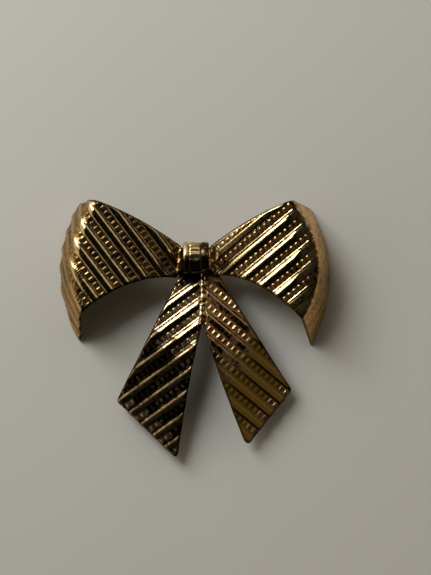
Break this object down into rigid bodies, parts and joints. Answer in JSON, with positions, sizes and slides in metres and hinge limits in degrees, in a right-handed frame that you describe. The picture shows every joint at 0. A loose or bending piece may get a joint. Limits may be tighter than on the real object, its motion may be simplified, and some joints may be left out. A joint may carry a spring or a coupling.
{
  "type": "bow watch pin",
  "caption": "Gold-tone ribbed ribbon-bow brooch with two curled loops, V tails, a knot band, a hinged pin, a rolling catch and a hook behind for a fob watch.",
  "frame": {"origin": "centre of the footprint, on the surface that the bow lies on", "axes": "+X to the bow's right as seen from the front, +Y to its top, +Z out of its front face"},
  "size_m": [0.0456, 0.0423, 0.0092],
  "materials": {
    "ribbon": "aged gold plating on ribbed sheet, dark tarnish in the grooves, bright worn crests",
    "tails": "aged gold plating on ribbed sheet, heavily darkened",
    "knot": "worn gold plating, dark grooves",
    "fittings": "thin gold plating, lightly dulled",
    "pin": "drawn wire, lightly dulled"
  },
  "bodies": {
    "bow": {"left_loop": "ribbon", "right_loop": "ribbon", "left_tail": "tails", "right_tail": "tails", "knot_band": "knot", "pin_bar": "fittings", "hinge_bracket": "fittings", "hinge_rivet": "fittings", "catch_body": "fittings", "watch_hook": "fittings"},
    "pin": {"pin_stem": "pin"},
    "rotor": {"catch_rotor": "fittings"}
  },
  "joints": [
    {"name": "pin_hinge", "type": "hinge", "parent": "bow", "child": "pin", "pos_m": [-0.0113, 0.0115, 0.0014], "axis": [0, 1, 0], "range_deg": [0, 100]},
    {"name": "catch_roll", "type": "hinge", "parent": "bow", "child": "rotor", "pos_m": [0.0105, 0.0115, 0.0014], "axis": [-1, 0, 0], "range_deg": [0, 150]}
  ]
}
